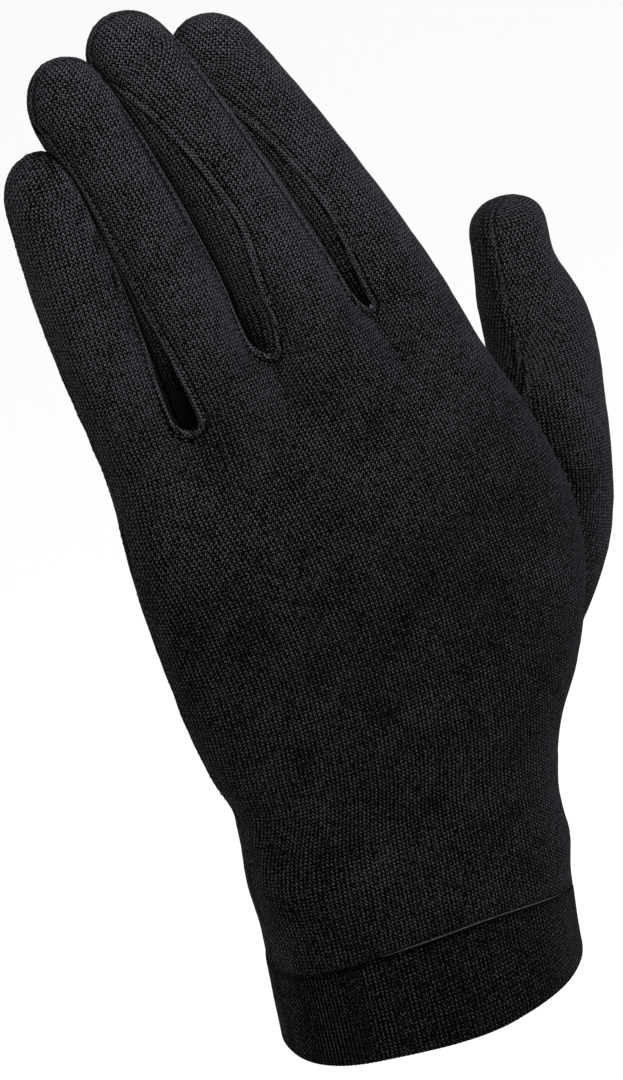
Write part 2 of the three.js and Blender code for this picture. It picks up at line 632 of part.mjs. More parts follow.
const glove = new THREE.Group();
glove.add(named('back_panel', withPassage(wallGeometry(panelGrids(1, BACK_COLUMNS))), knit));
glove.add(named('palm_panel', withPassage(wallGeometry(panelGrids(-1, FRONT_COLUMNS))), knit.clone()));
glove.add(named('fourchette_little_ring', wallGeometry(stripGrids(0)), knit.clone()));
glove.add(named('fourchette_ring_middle', wallGeometry(stripGrids(1)), knit.clone()));
glove.add(named('fourchette_middle_index', wallGeometry(stripGrids(2)), knit.clone()));
glove.add(named('thumb_panel', fromManifold(thumbWall), knit.clone()));
glove.add(named('cuff_band', wallGeometry([cuffGrid()]), rib));

export default glove;
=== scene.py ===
import bpy
import numpy as np
from mathutils import Matrix, Vector
from mathutils.bvhtree import BVHTree
from mathutils.kdtree import KDTree


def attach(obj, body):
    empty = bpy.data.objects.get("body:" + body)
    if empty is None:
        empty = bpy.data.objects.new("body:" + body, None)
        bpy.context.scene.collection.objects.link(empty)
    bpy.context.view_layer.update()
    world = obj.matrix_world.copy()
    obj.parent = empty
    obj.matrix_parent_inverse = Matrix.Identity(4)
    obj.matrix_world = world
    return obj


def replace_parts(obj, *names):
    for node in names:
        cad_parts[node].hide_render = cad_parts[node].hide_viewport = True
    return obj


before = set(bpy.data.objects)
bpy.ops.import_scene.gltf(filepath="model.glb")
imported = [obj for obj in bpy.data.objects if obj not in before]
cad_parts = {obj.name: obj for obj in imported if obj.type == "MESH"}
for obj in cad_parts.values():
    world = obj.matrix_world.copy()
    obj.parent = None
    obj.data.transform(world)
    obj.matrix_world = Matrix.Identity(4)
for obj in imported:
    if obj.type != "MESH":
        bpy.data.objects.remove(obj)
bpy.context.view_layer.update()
rng = np.random.default_rng(7)
MM = 0.001

# The glove's driving sizes
WEB_HEIGHT = 156.2
HAND_WIDTH = 92.0
HAND_DEPTH = 32.0
CUFF_HEIGHT = 23.7
SEAM_DROP = 0.21
SEAM_SAG = 0.25
CUFF_WALL = 2.2
CUFF_STEP = 0.2
CLOTH = 1.2
FINGER_WIDTH = 20.0
FINGER_DEPTH = 19.0
FINGERTIP_ROUND = 11.0
TIP_FULLNESS = 2.3
THUMB_FULLNESS = 3.0
FINGER_GAP = 0.3
TIP_LEAN_IN = 0.5
WEB_ROUND = 3.2
WEB_DIP = 1.5
KNUCKLE_BLEND = 34.0
PALM_SIDE_ANGLE = 36.0
STRIP_WIDENS = 0.5
STRIP_END = 9.0
THUMB_LENGTH = 110.0
THUMB_WIDTH = 30.0
THUMB_DEPTH = 25.0
THUMB_TIP_ROUND = 9.0
THUMB_ROOT_HEIGHT = 59.2
HAND_SQUARENESS = 2.25
FINGER_SQUARENESS = 2.2

# Spans over which the panels' points are shared out
FINGER_SPAN = 22.0
PALM_SPAN = 137.0
# Welts and rows of stitches, by their distance from the seam
SLIT_WELT = 1.25
STITCH_ROW = 1.65
TURNED_ROW = 2.5
SIDE_ROW = 1.3
# How far a strip's borders reach under the panels, as a share of its width, and how deep
STRIP_REACH = 0.12
STRIP_SINK = 0.55
# The band's ribs and the sag of its rim
WRIST_RADIUS = 31
RIB_COLUMNS = 6
RIB_PITCH = 1.02
RIB_HEIGHT = 0.20
RIM_DROP = 3.6
RIM_DRAW = 1.4

# Hand sections: share of the height, then the side edges, the back's depth and the palm's
HAND = np.array([
    (0.000, -0.424, 0.408, 0.80, 0.80),
    (0.080, -0.413, 0.414, 0.77, 0.77),
    (0.160, -0.402, 0.432, 0.72, 0.72),
    (0.250, -0.384, 0.456, 0.65, 0.66),
    (0.335, -0.384, 0.508, 0.60, 0.64),
    (0.416, -0.400, 0.600, 0.56, 0.64),
    (0.535, -0.430, 0.682, 0.54, 0.62),
    (0.645, -0.444, 0.700, 0.53, 0.60),
    (0.730, -0.449, 0.674, 0.52, 0.58),
    (0.813, -0.445, 0.636, 0.47, 0.50),
    (0.942, -0.443, 0.555, 0.38, 0.40),
    (1.080, -0.448, 0.480, 0.33, 0.34),
])
# Fingers from the little one. x, y, z: the root's place, in shares of the hand. lean, bend: degrees.
# widths: at the root, middle and tip. before, after: angles of the strips' borders on the back, at
# the root and farther up. palm: the same on the palm, at the root, before and after the finger.
FINGERS = [
    dict(x=-0.332, y=0.09, z=0.956, lean=-5.5, bend=5.8, curl=0.09, length=69.6,
         widths=(0.93, 1.00, 0.83), before=(0, 0), after=(44, 38), palm=(0, 36)),
    dict(x=-0.122, y=0.02, z=0.995, lean=-5.6, bend=-9.0, curl=0.11, length=80.6,
         widths=(1.15, 1.06, 0.86), before=(44, 32), after=(27, 32), palm=(36, 36)),
    dict(x=0.134, y=0.00, z=1.026, lean=-12.3, bend=-7.8, curl=0.15, length=81.8,
         widths=(1.31, 1.13, 0.89), before=(36, 74), after=(27, 32), palm=(36, 50)),
    dict(x=0.406, y=0.16, z=0.998, lean=-16.5, bend=-8.5, curl=0.26, length=79.0,
         widths=(1.21, 1.07, 0.97), before=(51, 72), after=(0, 0), palm=(22, 0)),
]
# How far the slits' ends lie above the fingers' roots, as a share of a finger's width
CROTCH_RISE = (0.04, 0.29, 0.27)
# Thumb sections: share of the length, centre out and deep, width and thickness
THUMB = np.array([
    (0.00, 0.340, 0.08, 0.80, 0.70),
    (0.13, 0.503, 0.20, 0.96, 0.88),
    (0.26, 0.640, 0.31, 1.00, 1.00),
    (0.40, 0.726, 0.38, 0.98, 1.02),
    (0.54, 0.769, 0.42, 0.94, 0.98),
    (0.67, 0.797, 0.44, 0.88, 0.93),
    (0.79, 0.792, 0.45, 0.78, 0.85),
    (0.90, 0.788, 0.45, 0.64, 0.76),
    (1.00, 0.792, 0.45, 0.58, 0.64),
])
# Moves of the cloth at the little finger's side and the thumb's side: height, spread, distance
LITTLE_SIDE_MOVES = ((62, 6, 1.3), (42, 9, -1.6), (131, 12, -1.1))
THUMB_SIDE_MOVES = ((26, 6, 1.2),)
# Where the thumb draws in or fills out on its outer side: share of the length, spread, share of the width
THUMB_DRAWS = ((0.855, 0.065, 0.17), (0.31, 0.09, -0.08))
# The squared end of the slit between ring and middle: height above the end, spread, distance
SLIT_RIGHT = ((6.5, 6.5, 1.7),)
SLIT_LEFT = ((6, 8, 0.9),)
# The part of the hand where the thumb's way in may lie: from this side on, between these heights
THUMB_SIDE = 25
THUMB_HEIGHTS = (55, 130)
# Painted light: the cloth's tone at the wrist, its gain toward the fingertips, and where that gain starts
# and its length
PAINTED_LIGHT_LOW, PAINTED_LIGHT_GAIN, GAIN_START, GAIN_LENGTH = 0.78, 0.32, 105, 90
# Shade in the side strips beside the slits' ends: tone at the end, reach
STRIP_SHADE = ((0.2, 30), (0.75, 9), (0.6, 10))
# Dents of the hand: side, place across and along, spread across and along, depth
DENTS = [
    (1, -0.10, 0.900, 0.045, 0.070, 0.030),
    (1, 0.16, 0.930, 0.045, 0.070, 0.030),
    (1, 0.04, 0.860, 0.080, 0.040, 0.025),
    (1, 0.44, 0.700, 0.100, 0.160, 0.050),
    (1, -0.18, 0.560, 0.050, 0.050, 0.030),
    (1, -0.03, 0.330, 0.300, 0.060, 0.035),
    (-1, 0.12, 0.620, 0.140, 0.220, 0.110),
    (-1, 0.04, 0.330, 0.300, 0.060, 0.045),
]


def lerp(a, b, t):
    return a + (b - a) * t


def smooth(t):
    t = np.clip(t, 0, 1)
    return t * t * (3 - 2 * t)


def signed_power(c, e):
    return np.sign(c) * np.abs(c) ** e


def bell(x, middle, spread):
    return np.exp(-((x - middle) / spread) ** 2)


def bells(x, table):
    return sum(size * bell(x, middle, spread) for middle, spread, size in table)


def through(places, values, x):
    """A smooth curve through the values at the places."""
    places = np.asarray(places, float)
    values = np.asarray(values, float)
    n = len(places)
    x = np.clip(x, places[0], places[-1])
    i = np.clip(np.searchsorted(places, x, side="left") - 1, 0, n - 2)
    low = np.maximum(np.arange(n) - 1, 0)
    high = np.minimum(np.arange(n) + 1, n - 1)
    slope = (values[high] - values[low]) / (places[high] - places[low])
    h = places[i + 1] - places[i]
    t = (x - places[i]) / h
    rise = (t ** 3 - 2 * t ** 2 + t) * h * slope[i] + (t ** 3 - t ** 2) * h * slope[i + 1]
    return lerp(values[i], values[i + 1], t * t * (3 - 2 * t)) + rise


def points(x, y, z):
    return np.stack(np.broadcast_arrays(x, y, z), -1)


def hand_section(z, inset):
    """Middle, half width, depth of the back and depth of the palm at a height."""
    at = z / WEB_HEIGHT
    little = through(HAND[:, 0], HAND[:, 1], at) * HAND_WIDTH + inset
    thumb = through(HAND[:, 0], HAND[:, 2], at) * HAND_WIDTH - inset
    back = through(HAND[:, 0], HAND[:, 3], at) * HAND_DEPTH - inset
    palm = through(HAND[:, 0], HAND[:, 4], at) * HAND_DEPTH - inset
    return (little + thumb) / 2, (thumb - little) / 2, back, palm


def hand_point(z, angle, side, inset):
    middle, half, back, palm = hand_section(z, inset)
    power = 2 / HAND_SQUARENESS
    x = middle + half * signed_power(np.cos(angle), power)
    depth = (back if side > 0 else palm) * np.abs(np.sin(angle)) ** power
    dent = 0
    for which, across, along, wide, long, deep in DENTS:
        if which == side:
            u = (x - across * HAND_WIDTH) / (wide * HAND_WIDTH)
            w = (z - along * WEB_HEIGHT) / (long * HAND_WIDTH)
            dent = dent + deep * HAND_DEPTH * np.exp(-(u * u + w * w) / 2)
    return points(x, -side * (depth - dent * np.abs(np.sin(angle))), z)


def finger_centre(f, along):
    """A point of the finger's middle line and the line's direction."""
    lean = np.tan(np.radians(f["lean"]))
    bend = np.tan(np.radians(f["bend"]))
    shorten = np.hypot(lean, 1)
    share = along / f["length"]
    deeper = f["curl"] * HAND_DEPTH * np.maximum(share, 0) ** 2
    point = points(
        f["x"] * HAND_WIDTH + (lean * along + bend * along * share / 2) / shorten,
        f["y"] * HAND_DEPTH + deeper,
        f["z"] * WEB_HEIGHT + along / shorten,
    )
    slope = 2 * f["curl"] * HAND_DEPTH * np.maximum(share, 0) / f["length"] * shorten
    tangent = points(lean + bend * share, slope, 1.0)
    return point, tangent / np.linalg.norm(tangent, axis=-1, keepdims=True)


def along_at(f, z):
    return (z - f["z"] * WEB_HEIGHT) * np.hypot(np.tan(np.radians(f["lean"])), 1)


def finger_half(f, share, size):
    return through((0, 0.55, 1), f["widths"], np.clip(share, 0, 1)) * size / 2


def tip_share(f, along, inset):
    """Share of the finger's width that is left near its tip."""
    length = f["length"] - inset
    near = (along * (length / f["length"]) - (length - FINGERTIP_ROUND)) / FINGERTIP_ROUND
    return np.sqrt(np.maximum(1 - np.clip(near, 0, 1) ** TIP_FULLNESS, 0))


def press_flat(p, f, g, inset):
    """Pushes the points of finger f back from its neighbour g."""
    mine = finger_centre(f, along_at(f, p[..., 2]))[0]
    other = finger_centre(g, along_at(g, p[..., 2]))[0]
    way = other - mine
    way[..., 2] = 0
    length = np.linalg.norm(way, axis=-1)
    way = way / length[..., None]
    a = finger_half(f, along_at(f, p[..., 2]) / f["length"], FINGER_WIDTH)
    b = finger_half(g, along_at(g, p[..., 2]) / g["length"], FINGER_WIDTH)
    beyond = np.maximum(along_at(g, p[..., 2]) - g["length"], 0)
    lean_in = TIP_LEAN_IN * b * (1 - tip_share(g, along_at(g, p[..., 2]), 0))
    border = length * a / (a + b) + lean_in + beyond
    past = ((p - mine) * way).sum(-1) - border + FINGER_GAP / 2 + inset
    push = (past + np.hypot(past, FINGER_GAP)) / 2
    return p - way * push[..., None]


def finger_point(i, along, angle, inset):
    f = FINGERS[i]
    along, angle = np.broadcast_arrays(np.asarray(along, float), np.asarray(angle, float))
    point, tangent = finger_centre(f, along)
    up = np.array((0.0, -1.0, 0.0)) + tangent * tangent[..., 1:2]
    up = up / np.linalg.norm(up, axis=-1, keepdims=True)
    across = np.cross(tangent, up)
    share = along / f["length"]
    close = tip_share(f, along, inset)
    power = 2 / FINGER_SQUARENESS
    a = (finger_half(f, share, FINGER_WIDTH) - inset) * close * signed_power(np.cos(angle), power)
    b = (finger_half(f, share, FINGER_DEPTH) - inset) * close * signed_power(np.sin(angle), power)
    p = point + across * a[..., None] + up * b[..., None]
    p = p - tangent * (inset * smooth(share))[..., None]
    if i > 0:
        p = press_flat(p, f, FINGERS[i - 1], inset)
    if i < 3:
        p = press_flat(p, f, FINGERS[i + 1], inset)
    return p


def crotch_height(i):
    return (FINGERS[i]["z"] + FINGERS[i + 1]["z"]) / 2 * WEB_HEIGHT + CROTCH_RISE[i] * FINGER_WIDTH


def start_along(i, q):
    """Where finger i leaves the hand, from its little side (q = 0) to its thumb side (q = 1)."""
    before = along_at(FINGERS[i], crotch_height(i - 1)) if i > 0 else 0
    after = along_at(FINGERS[i], crotch_height(i)) if i < 3 else 0
    return before * (1 - q) ** 2 + after * q ** 2


def free_along(i, q, share):
    return lerp(start_along(i, q), FINGERS[i]["length"], share)


def side_angle(i, q, share, side):
    """Angle above the finger's middle plane at which a panel ends and the strip begins."""
    f = FINGERS[i]
    full = share / (1 - STRIP_END / f["length"])
    root, free = (f["after"] if q else f["before"]) if side > 0 else (f["palm"][q], PALM_SIDE_ANGLE)
    angle = lerp(root, free, smooth(full / STRIP_WIDENS))
    return side * np.radians(angle) * np.sqrt(1 - np.clip(full, 0, 1) ** 4)


def edge_angle(i, q, share, side):
    outer = i == 3 if q else i == 0
    angle = 0 * share if outer else side_angle(i, q, share, side)
    return angle if q else np.pi * side - angle


def strip_angle(i, q, share, across):
    angle = lerp(side_angle(i, q, share, 1), side_angle(i, q, share, -1), across)
    return angle if q else np.pi - angle


def crotch(i, across, inset):
    """The end of the slit between fingers i and i + 1, from the back (0) to the palm (1)."""
    across = np.asarray(across, float)
    a = finger_point(i, start_along(i, 1), strip_angle(i, 1, 0.0, across), inset)
    b = finger_point(i + 1, start_along(i + 1, 0), strip_angle(i + 1, 0, 0.0, across), inset)
    p = (a + b) / 2
    p[..., 2] -= inset + WEB_DIP * 4 * np.clip(across * (1 - across), 0, 1)
    return p


def slit_pull(beyond, inset):
    left = np.clip(1 - beyond / (WEB_ROUND + inset), 0, 1)
    return 1 - np.sqrt(1 - left * left)


def parting(i):
    p = crotch(i, 0.0, 0.0)
    middle, half, _, _ = hand_section(p[2], 0.0)
    return np.arccos(signed_power(np.clip((p[0] - middle) / half, -1, 1), HAND_SQUARENESS / 2))


PARTS = [np.pi] + [float(parting(i)) for i in range(3)] + [0.0]


def seam_height(angle):
    turn = np.cos(angle)
    return CUFF_HEIGHT * (1 - SEAM_DROP * turn - SEAM_SAG * turn * turn)


def to_crotch(i, q, side, inset):
    if (i == 3) if q else (i == 0):
        return np.zeros(3)
    root = finger_point(i, start_along(i, q), edge_angle(i, q, 0.0, side), inset)
    return crotch(i if q else i - 1, 0.0 if side > 0 else 1.0, inset) - root


def palm_blend(i, t, q, side, inset, step):
    """The hand's skin below finger i, passing over into the finger's own."""
    angle = lerp(PARTS[i], PARTS[i + 1], q)
    start = start_along(i, q)
    to = finger_centre(FINGERS[i], start)[0][..., 2]
    z = lerp(seam_height(angle), to, t)
    hand = hand_point(z, angle, side, inset)
    weight = (smooth(1 - (to - z) / KNUCKLE_BLEND) ** 1.3)[..., None]
    turn = lerp(edge_angle(i, 0, 0.0, side), edge_angle(i, 1, 0.0, side), q)
    finger = finger_point(i, start - (to - z), turn, inset) + step
    return lerp(hand, finger, weight)


def palm_part(i, t, q, side, inset):
    own = palm_blend(i, t, q, side, inset, np.zeros(3))
    for edge in (0, 1):
        other = i + 1 if edge else i - 1
        if other in (-1, 4):
            continue
        e = np.full((1, 1), float(edge))
        bare = palm_blend(i, t, e, side, inset, np.zeros(3))
        mine = palm_blend(i, t, e, side, inset, to_crotch(i, edge, side, inset))
        theirs = palm_blend(other, t, 1 - e, side, inset, to_crotch(other, 1 - edge, side, inset))
        own = own + ((mine + theirs) / 2 - bare) * ((q if edge else 1 - q) ** 3)[..., None]
    return own


def finger_part(i, share, q, side, inset):
    angle = lerp(edge_angle(i, 0, share, side), edge_angle(i, 1, share, side), q)
    p = finger_point(i, free_along(i, q, share), angle, inset)
    for edge in (0, 1):
        pull = slit_pull(free_along(i, edge, share) - start_along(i, edge), inset)
        weight = pull * (q if edge else 1 - q) ** 3
        p = p + to_crotch(i, edge, side, inset) * weight[..., None]
    return p


# How finely the cloth is divided: rows at the fingers' ends, and steps in millimetres
WEB_ROWS, TIP_ROWS = 9, 10
EDGE_STEPS = np.array((0.0, 0.22, 0.45, 0.7, 0.95, 1.2, 1.45, 1.7, 2.0, 2.5, 3.2))
ROW_STEP = 1.9


def arc(n):
    return 1 - np.cos(np.linspace(0, np.pi / 2, n + 1))


def strip_columns(width):
    edge = EDGE_STEPS / width
    inner = np.linspace(edge[-1], 1 - edge[-1], max(int((1 - 2 * edge[-1]) * width / 1.5), 4) + 1)
    return np.concatenate([edge[:-1], inner, (1 - edge[:-1])[::-1]])


COLUMNS = strip_columns(FINGER_SPAN)
fine = np.cumsum(np.array((0.3, 0.3, 0.3, 0.35, 0.4, 0.5, 0.7, 1.0, 1.3, 1.6)))
PALM_ROWS = np.concatenate([
    np.linspace(0, 1 - fine[-1] / PALM_SPAN, 68)[:-1],
    (1 - fine / PALM_SPAN)[::-1],
])


def finger_rows(i):
    length = FINGERS[i]["length"]
    web = WEB_ROUND / length
    end = STRIP_END / length
    return np.concatenate([
        web * arc(WEB_ROWS)[:-1],
        np.linspace(web, 1 - end, int((1 - web - end) * length / ROW_STEP) + 1)[:-1],
        (1 - end * arc(TIP_ROWS))[::-1],
    ])


def cumulative(grid, axis):
    step = np.linalg.norm(np.diff(grid, axis=axis), axis=-1)
    pad = np.zeros([1 if k == axis else n for k, n in enumerate(step.shape)])
    return np.concatenate([pad, np.cumsum(step, axis=axis)], axis=axis)


def quads_of(ids):
    """The quads of a grid of point numbers."""
    return np.stack([ids[:-1, :-1], ids[:-1, 1:], ids[1:, 1:], ids[1:, :-1]], -1).reshape(-1, 4)


class Shell:
    """Outer and inner points on one net of quads."""

    def __init__(self):
        self.parts = []
        self.quads = []
        self.count = 0

    def add(self, outer, inner, uv, left=None, tip=False):
        rows, columns = outer.shape[:2]
        own = np.arange(self.count, self.count + rows * columns).reshape(rows, columns)
        self.count += rows * columns
        self.parts.append((outer.reshape(-1, 3), inner.reshape(-1, 3), uv.reshape(-1, uv.shape[-1])))
        if left is not None:
            own[:len(left), 0] = left
        if tip:
            own[-1] = own[-1, columns // 2]
        self.quads.append(quads_of(own))
        return own

    def arrays(self):
        """Points without those that no quad uses, and the quads."""
        outer, inner, uv = (np.concatenate([p[k] for p in self.parts]) for k in range(3))
        quads = np.concatenate(self.quads)
        used, renumbered = np.unique(quads, return_inverse=True)
        return outer[used], inner[used], uv[used], renumbered.reshape(-1, 4)


def seen_normals(verts, quads):
    a, b, c, d = (verts[quads[:, k]] for k in range(4))
    face = np.cross(c - a, d - b)
    normal = np.zeros_like(verts)
    for k in range(4):
        np.add.at(normal, quads[:, k], face)
    return normal / np.maximum(np.linalg.norm(normal, axis=1, keepdims=True), 1e-12)


def open_edges(quads):
    edges = np.concatenate([quads[:, [k, (k + 1) % 4]] for k in range(4)])
    edges = edges[edges[:, 0] != edges[:, 1]]
    key = edges[:, 0].astype(np.int64) * 10_000_000 + edges[:, 1]
    back = edges[:, 1].astype(np.int64) * 10_000_000 + edges[:, 0]
    return edges[~np.isin(key, back)]


def build_mesh(name, outer, inner, uv, tone, quads, material, flip=False):
    """A shell of cloth: both faces of a net of quads, joined along its open edges."""
    n = len(outer)
    rim = open_edges(quads)
    walls = np.stack([rim[:, 1], rim[:, 0], rim[:, 0] + n, rim[:, 1] + n], -1)
    faces = np.concatenate([quads, quads[:, ::-1] + n, walls])
    if flip:
        faces = faces[:, ::-1]
    # The inner faces get painted shade
    shaded = np.concatenate([tone, np.full(n, 0.7)])
    return add_piece(name, np.concatenate([outer, inner]), clean(faces), np.concatenate([uv, uv]),
                     shaded, material)


def clean(faces):
    """The faces without doubled corners, and without those that have no breadth."""
    kept = ([v for k, v in enumerate(face) if v != face[k - 1]] for face in faces.tolist())
    return [face for face in kept if len(face) > 2]


def add_piece(name, verts, faces, uv, tone, material):
    me = bpy.data.meshes.new(name)
    me.from_pydata((verts * MM).tolist(), [], faces)
    layer = me.uv_layers.new(name="knit")
    loops = np.empty(len(me.loops), np.int32)
    me.loops.foreach_get("vertex_index", loops)
    layer.data.foreach_set("uv", uv[loops].astype(np.float32).ravel())
    shade = me.attributes.new("tone", "FLOAT", "POINT")
    shade.data.foreach_set("value", np.asarray(tone, np.float32))
    me.polygons.foreach_set("use_smooth", np.ones(len(me.polygons), bool))
    me.materials.append(material)
    ob = bpy.data.objects.new(name, me)
    bpy.context.scene.collection.objects.link(ob)
    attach(ob, "root")
    return ob


def distance_to(p, lines):
    """Distance from each point to the nearest of some lines."""
    dots = np.concatenate([resample(line, 0.15) for line in lines])
    tree = KDTree(len(dots))
    for k, dot in enumerate(dots):
        tree.insert(dot, k)
    tree.balance()
    return np.array([tree.find(v)[2] for v in p])


def resample(line, step):
    line = np.asarray(line)
    seg = np.linalg.norm(np.diff(line, axis=0), axis=1)
    s = np.concatenate([[0], np.cumsum(seg)])
    keep = np.concatenate([[True], seg > 1e-9])
    at = np.arange(0, s[-1], step)
    return np.stack([np.interp(at, s[keep], line[keep, k]) for k in range(3)], 1)


# Small uneven waves of the cloth, and what brings their sum to about 1
WAVES_SUM = 5.3
waves = [(rng.normal(size=3), rng.uniform(0, 2 * np.pi), rng.uniform(0.6, 1.0)) for _ in range(14)]


def unevenness(p, length):
    total = 0
    for way, phase, size in waves:
        total = total + size * np.sin(p @ (way / length) * 2 * np.pi + phase)
    return total / WAVES_SUM


def in_hand(p, inset):
    """Below 1 inside the hand's skin, moved inward by inset."""
    middle, half, back, palm = hand_section(p[..., 2], inset)
    depth = np.where(p[..., 1] < 0, back, palm)
    return (np.abs((p[..., 0] - middle) / half) ** HAND_SQUARENESS
            + np.abs(p[..., 1] / depth) ** HAND_SQUARENESS)


def thumb_centre(share):
    return points(
        through(THUMB[:, 0], THUMB[:, 1], share) * HAND_WIDTH,
        through(THUMB[:, 0], THUMB[:, 2], share) * HAND_DEPTH,
        THUMB_ROOT_HEIGHT + share * THUMB_LENGTH,
    )


def thumb_point(share, turn, inset):
    length = THUMB_LENGTH - inset
    up = share * length
    at = up / THUMB_LENGTH
    near = np.clip((up - (length - THUMB_TIP_ROUND)) / THUMB_TIP_ROUND, 0, 1)
    close = np.sqrt(np.maximum(1 - near ** THUMB_FULLNESS, 0))
    tangent = thumb_centre(np.minimum(at + 0.02, 1)) - thumb_centre(np.maximum(at - 0.02, 0))
    tangent = tangent / np.linalg.norm(tangent, axis=-1, keepdims=True)
    across = np.array((1.0, 0, 0)) - tangent * tangent[..., :1]
    across = across / np.linalg.norm(across, axis=-1, keepdims=True)
    back = np.cross(across, tangent)
    wide = (through(THUMB[:, 0], THUMB[:, 3], at) * THUMB_WIDTH / 2 - inset) * close
    thick = (through(THUMB[:, 0], THUMB[:, 4], at) * THUMB_DEPTH / 2 - inset) * close
    wide = wide * (1 - bells(at, THUMB_DRAWS) * smooth(np.cos(turn) * 1.6))
    return (thumb_centre(at) + across * (wide * np.cos(turn))[..., None]
            - back * (thick * np.sin(turn))[..., None])


# The seam where the thumb is set into the hand
THUMB_TURNS = 3.9 + np.linspace(0, 2 * np.pi, 97)
THUMB_ROUNDED = (THUMB_TIP_ROUND + 0.5) / THUMB_LENGTH
THUMB_SHARES = np.concatenate([
    np.linspace(0, 1 - THUMB_ROUNDED, 80)[:-1],
    (1 - THUMB_ROUNDED * arc(12))[::-1],
])
thumb_outer = thumb_point(THUMB_SHARES[:, None], THUMB_TURNS[None], 0.0)
thumb_inner = thumb_point(THUMB_SHARES[:, None], THUMB_TURNS[None], CLOTH)
inside = in_hand(thumb_outer, 0.0)
thumb_ring = []
for c in range(len(THUMB_TURNS)):
    r = int(np.nonzero(inside[:, c] < 1)[0].max())
    u = (1 - inside[r, c]) / (inside[r + 1, c] - inside[r, c])
    thumb_ring.append(lerp(thumb_outer[r, c], thumb_outer[r + 1, c], u))
thumb_ring = np.array(thumb_ring)
SEAM_TURN = np.interp(THUMB_SHARES, (0, 0.6, 0.9, 1), (3.95, 3.92, 3.75, 3.70))
thumb_seam = thumb_point(THUMB_SHARES, SEAM_TURN, 0.0)[:-1]
thumb_seam = thumb_seam[in_hand(thumb_seam, 0.0) > 1]


def seam_relief(d, ridge, width, groove):
    """Height beside a seam: it dips at the seam, rises in a welt and dips at the stitches."""
    return (ridge * bell(d, 0.8 * width, 0.5 * width)
            - 0.30 * np.clip(1 - d / 0.3, 0, 1) ** 2
            - groove * bell(d, STITCH_ROW * width, 0.25))


def seam_shade_and_highlight(d, width, strength):
    """Share of the cloth's brightness beside a seam: painted shade at the seam and in the groove at the
    stitches, and a painted highlight on the welt.
    """
    painted_shade = 0.80 * bell(d, 0, 0.25) + 0.65 * bell(d, STITCH_ROW * width, 0.32)
    return 1 - strength * (painted_shade - 0.6 * bell(d, 0.8 * width, 0.4 * width))


CROTCHES = {side: np.array([crotch(i, 0.0 if side > 0 else 1.0, 0.0) for i in range(3)])
            for side in (1, -1)}


def cloth_height(p):
    """Height of the cloth's waves."""
    return 0.10 * unevenness(p, 11.0) + 0.05 * unevenness(p, 4.0)


def within(tree, p):
    """True if a ray from the point leaves the tree's closed surface an odd number of times."""
    hits = 0
    at = Vector(p)
    way = Vector((0.13, 0.97, 0.2)).normalized()
    while True:
        place, _, _, _ = tree.ray_cast(at, way)
        if place is None:
            return hits % 2 == 1
        hits += 1
        at = place + way * 1e-3


def grid_tree(grid):
    """A search tree of a tube's surface, closed at its first row."""
    rows, columns = grid.shape[:2]
    quads = quads_of(np.arange(rows * columns).reshape(rows, columns))
    base = [list(range(columns - 1))]
    return BVHTree.FromPolygons(grid.reshape(-1, 3).tolist(), quads.tolist() + base)


thumb_tree = grid_tree(thumb_point(THUMB_SHARES[:, None], THUMB_TURNS[None], CLOTH * 1.5))


def wrist_corners(p):
    """Corners and bulges of the cloth at the hand's sides."""
    x, z = p[:, 0], p[:, 2]
    move = (bells(z, LITTLE_SIDE_MOVES) * smooth((-x - 12) / 22)
            + bells(z, THUMB_SIDE_MOVES) * smooth((x - 15) / 20))
    return p + move[:, None] * np.array((1.0, 0, 0))


def squared_slit(p):
    """Widens the end of the slit between the ring and middle fingers on the back."""
    end = CROTCHES[1][1]
    above = p[..., 2] - end[2]
    beside = p[..., 0] - (end[0] - 0.17 * above)
    right = bells(above, SLIT_RIGHT) * smooth((beside + 1) / 2) * smooth((11 - beside) / 8)
    left = bells(above, SLIT_LEFT) * smooth((1 - beside) / 2) * smooth((11 + beside) / 8)
    move = (right - left) * smooth((6 - p[..., 1]) / 6)
    return p + move[..., None] * np.array((1.0, 0, 0))


def painted_tip_light(z):
    """Painted light: the cloth is made lighter toward the fingertips."""
    return PAINTED_LIGHT_LOW + PAINTED_LIGHT_GAIN * smooth((z - GAIN_START) / GAIN_LENGTH)


